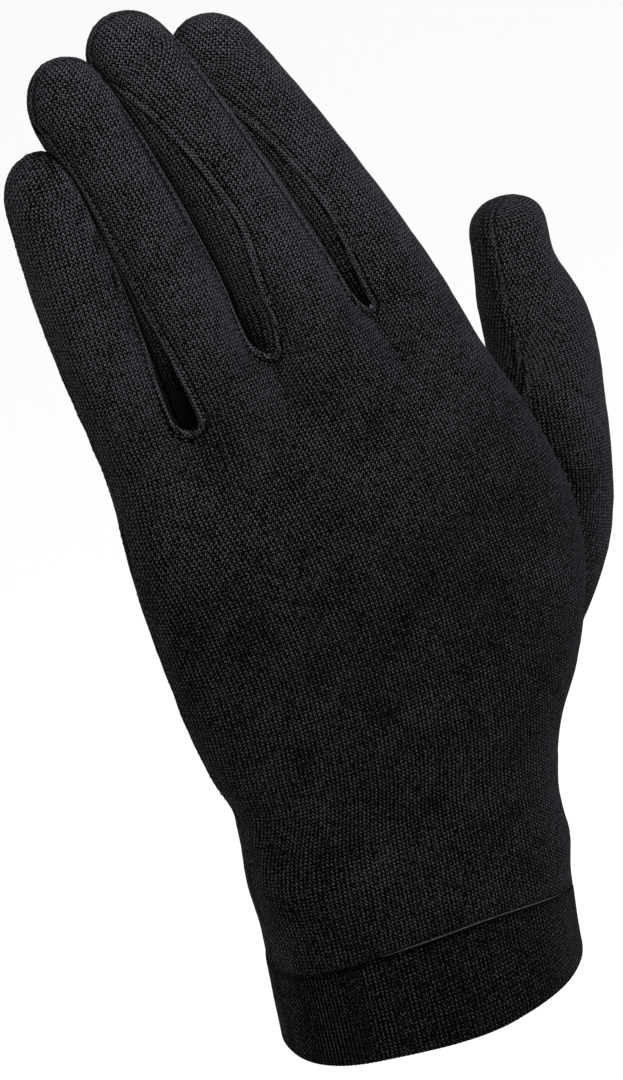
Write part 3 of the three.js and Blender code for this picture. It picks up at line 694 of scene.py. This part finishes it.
def panel(name, node, side, material):
    """The back or the palm, with its four fingers."""
    shell = Shell()
    q = COLUMNS[None]
    slits, sides, turned = [], [], []
    widths, grids = [], []
    for i in range(4):
        rows = finger_rows(i)[:, None]
        grids.append([
            np.concatenate([palm_part(i, PALM_ROWS[:, None], q, side, inset),
                            finger_part(i, rows, q, side, inset)])
            for inset in (0.0, CLOTH)
        ])
        widths.append(cumulative(grids[i][0], 1))
    web = len(PALM_ROWS)
    left = None
    for i, (outer, inner) in enumerate(grids):
        u = widths[i].copy()
        start = {0: -widths[0][:web + 1, -1] - widths[1][:web + 1, -1], 1: -widths[1][:web + 1, -1],
                 2: np.zeros(web + 1), 3: widths[2][:web + 1, -1]}[i]
        middle = len(COLUMNS) // 2
        at_web = start[-1] + u[web, middle]
        u[:web + 1] += start[:, None]
        u[web + 1:] += at_web - u[web + 1:, middle:middle + 1]
        v = cumulative(outer, 0) + outer[:1, :, 2]
        across = np.broadcast_to(q, u.shape)
        own = shell.add(outer, inner, np.stack([u, v, across], -1), left, tip=True)
        left = own[:web + 1, -1]
        for edge, column in ((0, 0), (1, -1)):
            if (i == 0 and edge == 0) or (i == 3 and edge == 1):
                sides.append(outer[:, column])
            else:
                slits.append(squared_slit(outer[web:, column]))
                if edge:
                    turned.append(slits[-1])
    outer, inner, uv, quads = shell.arrays()
    outer, inner = (squared_slit(wrist_corners(face)) for face in (outer, inner))
    normal = seen_normals(outer, quads) * side
    d_slit = distance_to(outer, slits)
    # The fingers' thumb sides have a second row of stitches farther from the slit, a dip with painted
    # shade along it
    row = bell(distance_to(outer, turned), TURNED_ROW, 0.35) * (uv[:, 2] > 0.5)
    d_side = distance_to(outer, sides)
    d_thumb = distance_to(outer, [thumb_ring])
    near = bell(np.sqrt(((outer[:, None] - CROTCHES[side][None]) ** 2).sum(-1)).min(1), 0, 12.0)
    welt = 0.20 + 0.45 * near
    height = cloth_height(outer)
    height += seam_relief(d_slit, welt, SLIT_WELT, 0.16 + 0.14 * near)
    height += seam_relief(d_side, 0.10, 0.8, 0.05) - 0.15 * row
    height += seam_relief(d_thumb, 0.18, 1.0, 0.08)
    height += 0.10 * unevenness(outer, 2.4) * bell(np.minimum(d_slit, d_side), 0, 2.2)
    # Painted shade at the seams and the stitches, painted highlights on the welts and painted light toward
    # the fingertips, with uneven tone
    tone = (seam_shade_and_highlight(d_slit, SLIT_WELT, 0.85 + 0.15 * near) * seam_shade_and_highlight(d_side, 0.8, 0.8)
            * seam_shade_and_highlight(d_thumb, 1.0, 0.6) * (1 - 0.75 * row)
            * (1 + 0.10 * unevenness(outer, 17.0)) * painted_tip_light(outer[:, 2]))
    outer = outer + normal * height[:, None]
    # The way into the thumb is open
    in_thumb = np.zeros(len(outer), bool)
    low, high = THUMB_HEIGHTS
    for k in np.nonzero((outer[:, 0] > THUMB_SIDE) & (outer[:, 2] > low) & (outer[:, 2] < high))[0]:
        in_thumb[k] = within(thumb_tree, outer[k])
    quads = quads[~in_thumb[quads].all(1)]
    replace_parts(build_mesh(name, outer, inner, uv[:, :2], tone, quads, material, flip=side < 0), node)
    return BVHTree.FromPolygons(outer.tolist(), clean(quads))


def side_strip(i, name, node, material):
    """A side strip: down the thumb side of finger i and up the other side of finger i + 1."""
    # The strip's borders lie under the panels
    across = np.linspace(-STRIP_REACH, 1 + STRIP_REACH, 17)[None]
    under = STRIP_SINK * (np.abs(across - 0.5) > 0.5)
    halves = []
    for finger, q in ((i, 1), (i + 1, 0)):
        share = finger_rows(finger)[:-TIP_ROWS - 1][:, None]
        half = []
        for depth in (0.0, CLOTH):
            inset = depth + under
            root = finger_point(finger, start_along(finger, q), strip_angle(finger, q, 0.0, across), inset)
            home = crotch(i, across, inset) - root
            along = free_along(finger, q, share)
            p = finger_point(finger, along, strip_angle(finger, q, share, across), inset)
            pull = slit_pull(along - start_along(finger, q), inset)
            half.append(p + home * pull[..., None])
        halves.append(half)
    outer, inner = (np.concatenate([halves[0][k][::-1], halves[1][k][1:]]) for k in range(2))
    u = cumulative(outer, 1)
    middle = u.shape[1] // 2
    u = u - u[:, middle:middle + 1]
    v = cumulative(outer, 0)
    shell = Shell()
    shell.add(outer, inner, np.stack([u, v], -1))
    outer, inner, uv, quads = shell.arrays()
    outer, inner = squared_slit(outer), squared_slit(inner)
    normal = -seen_normals(outer, quads)
    edges = [half[0][:, column] for half in halves for column in (1, -2)]
    d = distance_to(outer, edges)
    height = 0.5 * cloth_height(outer) + seam_relief(d, 0.08, 0.8, 0.0)
    deep = np.linalg.norm(outer - crotch(i, 0.3, 0.0), axis=1)
    painted_shade, reach = STRIP_SHADE[i]
    # Painted shade at the seams and toward the slit's end, painted highlights on the welts
    tone = 1.1 * seam_shade_and_highlight(d, 0.8, 0.4) * lerp(painted_shade, 1.0, smooth((deep - 3) / reach))
    outer = outer + normal * height[:, None]
    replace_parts(build_mesh(name, outer, inner, uv, tone, quads, material, flip=True), node)


def thumb(name, node, material):
    """The thumb's tube, open where it meets the hand."""
    u = cumulative(thumb_outer, 1)
    middle = u.shape[1] // 2
    v = np.broadcast_to(cumulative(thumb_outer, 0)[:, middle:middle + 1], u.shape)
    u = u - u[:, middle:middle + 1]
    # The first and last columns lie on each other
    ids = np.arange(u.size).reshape(u.shape)
    joined = ids.copy()
    joined[:, -1] = ids[:, 0]
    quads = quads_of(joined)
    normal = seen_normals(thumb_outer.reshape(-1, 3), quads).reshape(thumb_outer.shape)
    normal[:, -1] = normal[:, 0]
    away = thumb_outer - thumb_centre(THUMB_SHARES)[:, None]
    normal *= np.sign((normal * away).sum(-1)[1:-1].mean())
    flat = thumb_outer.reshape(-1, 3)
    d = distance_to(flat, [thumb_seam])
    d_ring = distance_to(flat, [thumb_ring])
    height = (cloth_height(flat) + seam_relief(d, 0.16, 0.8, 0.06)
              + seam_relief(d_ring, 0.18, 1.0, 0.06))
    # Painted shade at the seams, painted highlights on the welts, with uneven tone
    tone = seam_shade_and_highlight(d, 0.8, 0.75) * seam_shade_and_highlight(d_ring, 1.0, 0.6) * (1 + 0.10 * unevenness(flat, 17.0))
    # Painted shade where the thumb meets the hand
    tone *= 1 - 0.3 * bell(d_ring, 0, 10)
    # Painted shade: the side panel between the seam and the hand is darker
    turn = (THUMB_TURNS[None] - SEAM_TURN[:, None] + np.pi) % (2 * np.pi) - np.pi
    tone = 1.12 * tone * (1 - 0.2 * smooth((0.9 + turn) / 0.2) * smooth(-turn / 0.05)).ravel()
    outer = thumb_outer + normal * height.reshape(u.shape)[..., None]
    shell = Shell()
    shell.add(outer, thumb_inner, np.stack([u, v, tone.reshape(u.shape)], -1), tip=True)
    outer, inner, uv, quads = shell.arrays()
    ring = in_hand(outer, CLOTH * 1.5)
    quads = quads[~(ring[quads] < 1).all(1)]
    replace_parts(build_mesh(name, outer, inner, uv[:, :2], uv[:, 2], quads, material), node)
    return BVHTree.FromPolygons(outer.tolist(), clean(quads))


def cuff(name, node, material):
    """The doubled rib band: a closed loop of profile points, carried round the wrist."""
    rim_points, outer_rows = 9, 14
    ribs = int(2 * np.pi * WRIST_RADIUS / RIB_PITCH)
    angle = np.linspace(0, 2 * np.pi, ribs * RIB_COLUMNS + 1)[:-1]
    turn = np.where(angle < np.pi, angle, 2 * np.pi - angle)
    side = np.where(angle < np.pi, 1, -1)
    top = seam_height(turn) - 0.05
    fold = CUFF_WALL / 2
    lip = 0.5
    profile = []
    for a in np.linspace(0, np.pi, rim_points):
        profile.append(("rim", CUFF_WALL - CUFF_STEP - fold + fold * np.cos(a), fold - fold * np.sin(a)))
    for share in np.linspace(0, 1, outer_rows + 2)[1:-1]:
        profile.append(("out", -CUFF_STEP, share))
    for a in np.linspace(0, np.pi / 2, 5):
        profile.append(("lip", -CUFF_STEP + lip - lip * np.cos(a), lip * np.sin(a) - lip))
    profile.append(("lip", CLOTH, 0.0))
    profile.append(("lip", CUFF_WALL - CUFF_STEP, -lip))
    for share in np.linspace(0, 1, 12)[1:-1][::-1]:
        profile.append(("in", CUFF_WALL - CUFF_STEP, share))
    ridge = 0.5 + 0.5 * np.cos(angle * ribs)
    grid, heights = [], []
    for kind, inset, place in profile:
        if kind == "rim":
            z = np.full_like(angle, place)
        elif kind == "lip":
            z = top + place
        else:
            z = lerp(fold, top - lip, place)
        out = 1 if inset < CUFF_WALL / 2 else -1
        fade = 0.35 if kind == "lip" else 1.0
        fine = 1 - 0.75 * smooth((np.cos(turn) + 0.75) / 0.6) * (side > 0)
        offset = inset - out * RIB_HEIGHT * fade * fine * (ridge - 0.5)
        middle, half, back, palm = hand_section(z, offset)
        power = 2 / HAND_SQUARENESS
        depth = np.where(side > 0, back, palm) * np.abs(np.sin(turn)) ** power
        grid.append(points(middle + half * signed_power(np.cos(turn), power), -side * depth, z))
        heights.append(z)
    grid = np.array(grid)
    rows, columns = grid.shape[:2]
    ids = np.arange(rows * columns).reshape(rows, columns)
    right = np.roll(ids, -1, 1)
    up, up_right = np.roll(ids, -1, 0), np.roll(right, -1, 0)
    quads = np.stack([ids, right, up_right, up], -1).reshape(-1, 4)
    girth = grid[rim_points + 3:rim_points + 4]
    way = cumulative(np.concatenate([girth, girth[:, :1]], 1), 1)[0]
    uv = np.stack([np.broadcast_to(way[:-1], (rows, columns)), np.array(heights)], -1)
    verts = grid.reshape(-1, 3)
    verts = verts + 0.12 * unevenness(verts, 13.0)[:, None] * np.array((0, 1.0, 0))
    # The rim sags at the thumb side of the back
    low = (smooth((verts[:, 0] + 27) / 34) * smooth((8 - verts[:, 1]) / 20)
           * smooth(1 - verts[:, 2] / 18))
    verts[:, 2] -= RIM_DROP * low
    verts[:, 0] -= RIM_DRAW * low * smooth((verts[:, 0] - 15) / 20)
    # The ribs show most at the little finger's side
    plain = 0.92 * smooth((grid[..., 0] + 38) / 40) * (grid[..., 1] < 0)
    tone = lerp(0.40 + 0.75 * ridge[None], 0.72, plain) * (1 - 0.12 * smooth(grid[..., 0] / 30))
    # Painted shade on the band's lip and inside
    tone[rim_points + outer_rows:] *= 0.6
    ob = add_piece(name, verts, quads[:, ::-1].tolist(), uv.reshape(-1, 2), tone.ravel(),
                   material)
    # The last face of each ring closes it, so its coordinates run on past the first point
    layer = ob.data.uv_layers["knit"].data
    found = np.empty(2 * len(layer), np.float32)
    layer.foreach_get("uv", found)
    by_face = found.reshape(-1, 4, 2)
    ends = np.ptp(by_face[..., 0], axis=1) > way[-1] / 2
    first = ends[:, None] & (by_face[..., 0] < way[-1] / 2)
    by_face[..., 0][first] += way[-1]
    layer.foreach_set("uv", by_face.ravel())
    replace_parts(ob, node)


def tube_faces(rings, sides):
    """The faces of a closed tube of rings of points."""
    faces = [list(range(sides))[::-1], list(range((rings - 1) * sides, rings * sides))]
    for k in range(rings - 1):
        for j in range(sides):
            n = (j + 1) % sides
            faces.append([k * sides + j, k * sides + n, (k + 1) * sides + n, (k + 1) * sides + j])
    return faces


def bead(length, radius):
    """A small rounded stitch along X: rings of points and its faces."""
    rings, sides = 5, 6
    along = np.linspace(-1, 1, rings)
    grid = []
    for a in along:
        r = radius * np.sqrt(max(1 - a ** 4, 0.0)) + 0.02
        turn = np.linspace(0, 2 * np.pi, sides, endpoint=False)
        grid.append(points(a * length / 2, r * np.cos(turn), r * np.sin(turn)))
    return np.concatenate(grid), tube_faces(rings, sides)


def stitches(name, lines, tree, material, spacing=1.45, length=1.05, radius=0.19, sink=0.02):
    """Rows of stitches laid on the nearest surface of a tree."""
    shape, faces = bead(length, radius)
    verts, out = [], []
    for line in lines:
        at = resample(line, spacing)
        for k in range(1, len(at) - 1):
            place, normal, _, gap = tree.find_nearest(Vector(at[k]))
            if place is None or gap > 1.5:
                continue
            up = np.array(normal)
            if up @ (at[k] - axis_point(at[k])) < 0:
                up = -up
            way = at[k + 1] - at[k - 1]
            way = way - up * (way @ up)
            way = way / max(np.linalg.norm(way), 1e-9)
            side = np.cross(up, way)
            turn = rng.uniform(-0.22, 0.22)
            way, side = (way * np.cos(turn) + side * np.sin(turn),
                         side * np.cos(turn) - way * np.sin(turn))
            size = rng.uniform(0.85, 1.12)
            start = len(verts) * len(shape)
            verts.append(np.array(place) - up * sink + size * (shape @ np.stack([way, side, up])))
            out.extend([v + start for v in face] for face in faces)
    verts = np.concatenate(verts)
    uv = verts[:, :2] * 0
    return add_piece(name, verts, out, uv, np.ones(len(verts)), material)


def axis_point(p):
    """The middle of the finger, thumb or hand that a point lies on."""
    if p[0] > 46 and p[2] > 75:
        return thumb_centre((p[2] - THUMB_ROOT_HEIGHT) / THUMB_LENGTH)
    if p[2] < WEB_HEIGHT - 8:
        return np.array((np.clip(p[0], -28, 34), 0, p[2]))
    middles = [finger_centre(f, np.array(along_at(f, p[2])))[0] for f in FINGERS]
    return min(middles, key=lambda m: np.linalg.norm(m[:2] - p[:2]))


def slit_line(k, side):
    """Beside the slit between two fingers: down one finger, round the slit's end and up the next."""
    down = np.linspace(0.84, 0.012, 60)[:, None]
    left = finger_part(k, down, np.full((1, 1), 1 - TURNED_ROW / FINGER_SPAN), side, 0.0)[:, 0]
    off = STITCH_ROW * SLIT_WELT / FINGER_SPAN
    right = finger_part(k + 1, down[::-1], np.full((1, 1), off), side, 0.0)[:, 0]
    turn = np.linspace(0, np.pi, 15)
    t = 1 - np.sin(turn) * STITCH_ROW * SLIT_WELT / PALM_SPAN
    q = off * np.cos(turn)
    under = []
    for r, c in zip(t, q):
        finger, place = (k, 1 - c) if c > 0 else (k + 1, -c)
        under.append(palm_part(finger, np.full((1, 1), r), np.full((1, 1), place), side, 0.0)[0, 0])
    return squared_slit(np.concatenate([left, under, right]))


def side_line(i, q, side):
    """Beside the seam between the back and the palm, from the cuff to the fingertip."""
    low = palm_part(i, np.linspace(0.02, 0.99, 70)[:, None], np.full((1, 1), q), side, 0.0)[:, 0]
    high = finger_part(i, np.linspace(0.02, 0.88, 50)[:, None], np.full((1, 1), q), side, 0.0)[:, 0]
    return np.concatenate([low, high])


def fold_line(name, material):
    """The turned edge that catches the light along the band's seam on the back."""
    first, last = 118, 44
    angle = np.radians(np.linspace(first, last, 90))
    z = seam_height(angle) + 0.05
    middle, half, back, _ = hand_section(z, -0.22)
    power = 2 / HAND_SQUARENESS
    path = points(middle + half * signed_power(np.cos(angle), power), -back * np.sin(angle) ** power, z)
    degrees = np.degrees(angle)
    thick = 0.06 + 0.14 * smooth((first - degrees) / 18) * smooth((degrees - last) / 14)
    sides = 8
    turn = np.linspace(0, 2 * np.pi, sides, endpoint=False)
    out = path - points(middle, 0 * z, z)
    out = out / np.linalg.norm(out, axis=1, keepdims=True)
    rings = (path[:, None] + out[:, None] * (thick[:, None] * np.cos(turn))[..., None]
             + np.array((0, 0, 1.0)) * (thick[:, None] * np.sin(turn))[..., None])
    # The path runs from left to right, so the faces turn the other way
    faces = [face[::-1] for face in tube_faces(len(path), sides)]
    verts = rings.reshape(-1, 3)
    add_piece(name, verts, faces, verts[:, :2] * 0, np.ones(len(verts)), material)


class Nodes:
    """Short ways to make a material's nodes."""

    def __init__(self, name):
        self.material = bpy.data.materials.new(name)
        self.material.use_nodes = True
        self.tree = self.material.node_tree
        self.tree.nodes.clear()

    def add(self, kind, **values):
        node = self.tree.nodes.new(kind)
        for key, value in values.items():
            setattr(node, key, value)
        return node

    def link(self, a, b):
        self.tree.links.new(a, b)

    def math(self, operation, a, b=None, c=None, clamp=False):
        node = self.add("ShaderNodeMath", operation=operation, use_clamp=clamp)
        for k, value in enumerate((a, b, c)):
            if value is None:
                continue
            if isinstance(value, (int, float)):
                node.inputs[k].default_value = value
            else:
                self.link(value, node.inputs[k])
        return node.outputs[0]

    def noise(self, vector, scale, detail=2.0, rough=0.5):
        node = self.add("ShaderNodeTexNoise")
        node.inputs["Scale"].default_value = scale
        node.inputs["Detail"].default_value = detail
        node.inputs["Roughness"].default_value = rough
        self.link(vector, node.inputs["Vector"])
        return node.outputs["Fac"]

    def ramp(self, factor, stops):
        node = self.add("ShaderNodeValToRGB")
        elements = node.color_ramp.elements
        while len(elements) < len(stops):
            elements.new(0.5)
        for element, (place, colour) in zip(elements, stops):
            element.position = place
            element.color = (*colour, 1)
        self.link(factor, node.inputs["Fac"])
        return node.outputs["Color"]

    def finish(self, colour, bump, rough, gloss, sheen):
        """The shader of a cloth or thread, from its colour and its bump."""
        shader = self.add("ShaderNodeBsdfPrincipled")
        self.link(colour, shader.inputs["Base Color"])
        self.link(bump.outputs[0], shader.inputs["Normal"])
        shader.inputs["Roughness"].default_value = rough
        shader.inputs["Specular IOR Level"].default_value = gloss
        shader.inputs["Sheen Weight"].default_value = sheen
        shader.inputs["Sheen Roughness"].default_value = 0.35
        shader.inputs["Sheen Tint"].default_value = (0.80, 0.88, 1.0, 1)
        self.link(shader.outputs[0], self.add("ShaderNodeOutputMaterial").inputs["Surface"])
        return self.material


def knit_material(name, wale, course, grain, light):
    """Jersey knit: two slanted legs to each stitch, darker between them, with uneven yarn."""
    n = Nodes(name)
    uv = n.add("ShaderNodeUVMap", uv_map="knit").outputs["UV"]
    place = n.add("ShaderNodeTexCoord").outputs["Object"]
    split = n.add("ShaderNodeSeparateXYZ")
    n.link(uv, split.inputs[0])
    drift_u = n.math("MULTIPLY_ADD", n.noise(place, 260.0, 2.0), 0.5, -0.25)
    drift_v = n.math("MULTIPLY_ADD", n.noise(place, 310.0, 2.0), 0.5, -0.25)
    u = n.math("DIVIDE", n.math("ADD", split.outputs[0], drift_u), wale)
    v = n.math("DIVIDE", n.math("ADD", split.outputs[1], drift_v), course)
    # Distance from the middle of the wale, 0 to 0.5
    half = n.math("ABSOLUTE", n.math("SUBTRACT", n.math("FRACT", u), 0.5))
    slant = n.math("ADD", v, n.math("MULTIPLY", half, 1.7))
    row = n.math("MULTIPLY_ADD", n.math("COSINE", n.math("MULTIPLY", slant, 2 * np.pi)), 0.5, 0.5)
    leg = n.math("MULTIPLY_ADD", n.math("POWER", half, 2.0), -2.9, 1.0)
    stitch = n.math("MULTIPLY", leg, n.math("MULTIPLY_ADD", row, 0.9, 0.1))
    fuzz = n.noise(place, 2600.0, 2.0, 0.7)
    yarn = n.noise(place, 900.0, 2.0, 0.6)
    patch = n.noise(place, 45.0, 3.0)
    bright = n.math("MULTIPLY", stitch, n.math("MULTIPLY_ADD", yarn, 1.0, 0.5))
    bright = n.math("MULTIPLY", bright, n.math("MULTIPLY_ADD", fuzz, grain, 1 - grain / 2))
    bright = n.math("MULTIPLY", bright, n.math("MULTIPLY_ADD", patch, 0.5, 0.75))
    # The tone attribute carries painted shade and highlights beside the seams, painted shade inside and at
    # the thumb's root, painted light toward the fingertips, and uneven tone
    tone = n.add("ShaderNodeAttribute", attribute_name="tone", attribute_type="GEOMETRY").outputs["Fac"]
    bright = n.math("MULTIPLY", bright, tone, clamp=True)
    colour = n.ramp(bright, [(0.0, BLACK), (0.28, tuple(0.005 * c for c in light)),
                             (0.54, tuple(0.20 * c for c in light)), (0.88, light)])
    bump = n.add("ShaderNodeBump")
    bump.inputs["Strength"].default_value = 0.8
    bump.inputs["Distance"].default_value = 0.0003
    n.link(n.math("ADD", stitch, n.math("MULTIPLY", fuzz, 0.4)), bump.inputs["Height"])
    return n.finish(colour, bump, rough=0.8, gloss=0.004, sheen=0.022)


def thread_material(name, colour):
    """Twisted thread, darker in its hollows."""
    n = Nodes(name)
    place = n.add("ShaderNodeTexCoord").outputs["Object"]
    twist = n.noise(place, 2200.0, 2.0)
    shade = n.ramp(twist, [(0.35, tuple(c * 0.35 for c in colour)), (0.7, colour)])
    bump = n.add("ShaderNodeBump")
    bump.inputs["Strength"].default_value = 0.4
    bump.inputs["Distance"].default_value = 0.0001
    n.link(twist, bump.inputs["Height"])
    return n.finish(shade, bump, rough=0.6, gloss=0.03, sheen=0.01)


BLACK = (0.0001, 0.0001, 0.00012)
knit = knit_material("knit_cloth", 1.0, 0.86, 3.8, (0.046, 0.047, 0.052))
rib = knit_material("rib_knit", RIB_PITCH, 0.9, 5.0, (0.036, 0.0365, 0.040))
thread = thread_material("sewing_thread", (0.034, 0.034, 0.038))
turned_edge = thread_material("turned_edge", (0.040, 0.040, 0.044))

back_tree = panel("back_knit", "back_panel", 1, knit)
palm_tree = panel("palm_knit", "palm_panel", -1, knit)
for i, pair in enumerate(("little_ring", "ring_middle", "middle_index")):
    side_strip(i, f"{pair}_strip", f"fourchette_{pair}", knit)
thumb_surface = thumb("thumb_knit", "thumb_panel", knit)
cuff("cuff_rib", "cuff_band", rib)
fold_line("cuff_turned_edge", turned_edge)

for side, tree, label in ((1, back_tree, "back"), (-1, palm_tree, "palm")):
    stitches(f"{label}_slit_stitches", [slit_line(k, side) for k in range(3)], tree, thread)
    side_row = SIDE_ROW / FINGER_SPAN
    stitches(f"{label}_side_stitches", [side_line(0, side_row, side), side_line(3, 1 - side_row, side)],
             tree, thread, spacing=1.7, length=1.0, radius=0.14)
beside = thumb_point(THUMB_SHARES, SEAM_TURN + 0.10, 0.0)[:-8]
stitches("thumb_seam_stitches", [beside[in_hand(beside, 0.0) > 1.1]], thumb_surface, thread)

# Floor, lights and camera
FLOOR_REACH, FLOOR_HEIGHT = 9, -0.3
floor_mesh = bpy.data.meshes.new("floor")
corners = [(x * FLOOR_REACH, y * FLOOR_REACH, FLOOR_HEIGHT)
           for x, y in ((-1, -1), (1, -1), (1, 1), (-1, 1))]
floor_mesh.from_pydata(corners, [], [(0, 1, 2, 3)])
floor = bpy.data.objects.new("floor", floor_mesh)
bpy.context.scene.collection.objects.link(floor)
pale = Nodes("pale_floor")
pale_shader = pale.add("ShaderNodeBsdfPrincipled")
pale_shader.inputs["Base Color"].default_value = (0.95, 0.95, 0.95, 1)
pale_shader.inputs["Roughness"].default_value = 0.9
pale_shader.inputs["Specular IOR Level"].default_value = 0.1
pale.link(pale_shader.outputs[0], pale.add("ShaderNodeOutputMaterial").inputs["Surface"])
floor_mesh.materials.append(pale.material)

scene = bpy.context.scene
scene.view_settings.view_transform = "Standard"
scene.view_settings.look = "None"
world = bpy.data.worlds.new("studio")
scene.world = world
world.use_nodes = True
world.node_tree.nodes["Background"].inputs[0].default_value = (1, 1, 1, 1)
world.node_tree.nodes["Background"].inputs[1].default_value = 1.0


def softbox(name, place, target, size, power):
    data = bpy.data.lights.new(name, "AREA")
    data.shape = "RECTANGLE"
    data.size, data.size_y = size
    data.energy = power
    ob = bpy.data.objects.new(name, data)
    scene.collection.objects.link(ob)
    ob.location = place
    ob.rotation_euler = (Vector(target) - Vector(place)).to_track_quat("-Z", "Y").to_euler()


CENTRE = (0.0, 0.0, 0.12)
softbox("key", (0.06, -0.24, 0.46), (-0.01, 0.0, 0.21), (0.30, 0.22), 2.6)
softbox("fill", (0.5, -0.7, 0.2), CENTRE, (0.6, 0.6), 1.5)

azimuth, elevation, roll = np.radians((-20.0, 21.0, 16.0))
away = Vector((np.sin(azimuth) * np.cos(elevation),
               -np.cos(azimuth) * np.cos(elevation),
               np.sin(elevation)))
right0 = Vector((np.cos(azimuth), np.sin(azimuth), 0))
up0 = away.cross(right0)
right = np.cos(roll) * right0 - np.sin(roll) * up0
up = np.cos(roll) * up0 + np.sin(roll) * right0
camera_data = bpy.data.cameras.new("camera")
camera_data.lens = 100
camera_data.sensor_width = 36
camera_data.sensor_fit = "AUTO"
camera = bpy.data.objects.new("camera", camera_data)
scene.collection.objects.link(camera)
turned = Matrix((right, up, away)).transposed().to_4x4()
CAMERA_TARGET = Vector((0.0003, 0, 0.1162))
CAMERA_DISTANCE = 0.667
camera.matrix_world = Matrix.Translation(CAMERA_TARGET + away * CAMERA_DISTANCE) @ turned
scene.camera = camera
